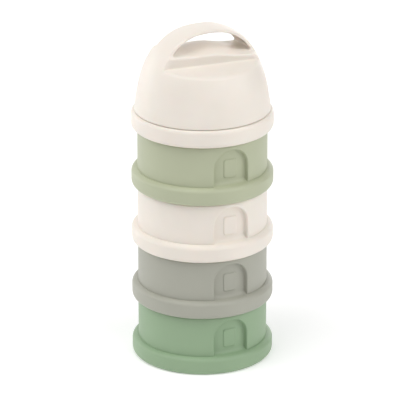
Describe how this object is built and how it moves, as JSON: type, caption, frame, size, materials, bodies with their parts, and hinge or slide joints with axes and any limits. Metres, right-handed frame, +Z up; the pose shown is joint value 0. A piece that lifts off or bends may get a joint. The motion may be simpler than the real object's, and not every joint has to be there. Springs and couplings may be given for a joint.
{
  "type": "formula dispenser",
  "caption": "Stack of screw-together powder containers in soft colours, under a domed lid with a moulded carrying handle.",
  "frame": {"origin": "centre of the bottom rim, on the stack's axis", "axes": "+Z up the stack, -Y towards the arch-shaped recesses, +X to their right"},
  "size_m": [0.086, 0.086, 0.2085],
  "materials": {
    "cream_plastic": "satin moulded polypropylene",
    "sage_plastic": "satin moulded polypropylene",
    "grey_plastic": "satin moulded polypropylene",
    "green_plastic": "satin moulded polypropylene",
    "silicone": "translucent white silicone"
  },
  "bodies": {
    "container_4": {"container_4": "green_plastic"},
    "seal_4": {"neck_seal_4": "silicone"},
    "container_3": {"container_3": "grey_plastic"},
    "seal_3": {"neck_seal_3": "silicone"},
    "container_2": {"container_2": "cream_plastic"},
    "seal_2": {"neck_seal_2": "silicone"},
    "container_1": {"container_1": "sage_plastic"},
    "seal_1": {"neck_seal_1": "silicone"},
    "lid": {"lid_dome": "cream_plastic", "lid_base": "cream_plastic"}
  },
  "joints": [
    {"name": "container_3_turn", "type": "hinge", "parent": "container_4", "child": "seal_4", "pos_m": [0, 0, 0.0365], "axis": [0, 0, 1], "range_deg": [0, 360]},
    {"name": "container_3_lift", "type": "slide", "parent": "seal_4", "child": "container_3", "axis": [0, 0, 1], "range_m": [0, 0.0122]},
    {"name": "container_2_turn", "type": "hinge", "parent": "container_3", "child": "seal_3", "pos_m": [0, 0, 0.0729], "axis": [0, 0, 1], "range_deg": [0, 360]},
    {"name": "container_2_lift", "type": "slide", "parent": "seal_3", "child": "container_2", "axis": [0, 0, 1], "range_m": [0, 0.0122]},
    {"name": "container_1_turn", "type": "hinge", "parent": "container_2", "child": "seal_2", "pos_m": [0, 0, 0.1094], "axis": [0, 0, 1], "range_deg": [0, 360]},
    {"name": "container_1_lift", "type": "slide", "parent": "seal_2", "child": "container_1", "axis": [0, 0, 1], "range_m": [0, 0.0122]},
    {"name": "lid_turn", "type": "hinge", "parent": "container_1", "child": "seal_1", "pos_m": [0, 0, 0.1458], "axis": [0, 0, 1], "range_deg": [0, 360]},
    {"name": "lid_lift", "type": "slide", "parent": "seal_1", "child": "lid", "axis": [0, 0, 1], "range_m": [0, 0.0122]}
  ],
  "couplings": [
    {"joint": "container_3_lift", "follows": "container_3_turn", "m_per_rad": 0.0019099},
    {"joint": "container_2_lift", "follows": "container_2_turn", "m_per_rad": 0.0019099},
    {"joint": "container_1_lift", "follows": "container_1_turn", "m_per_rad": 0.0019099},
    {"joint": "lid_lift", "follows": "lid_turn", "m_per_rad": 0.0019099}
  ]
}
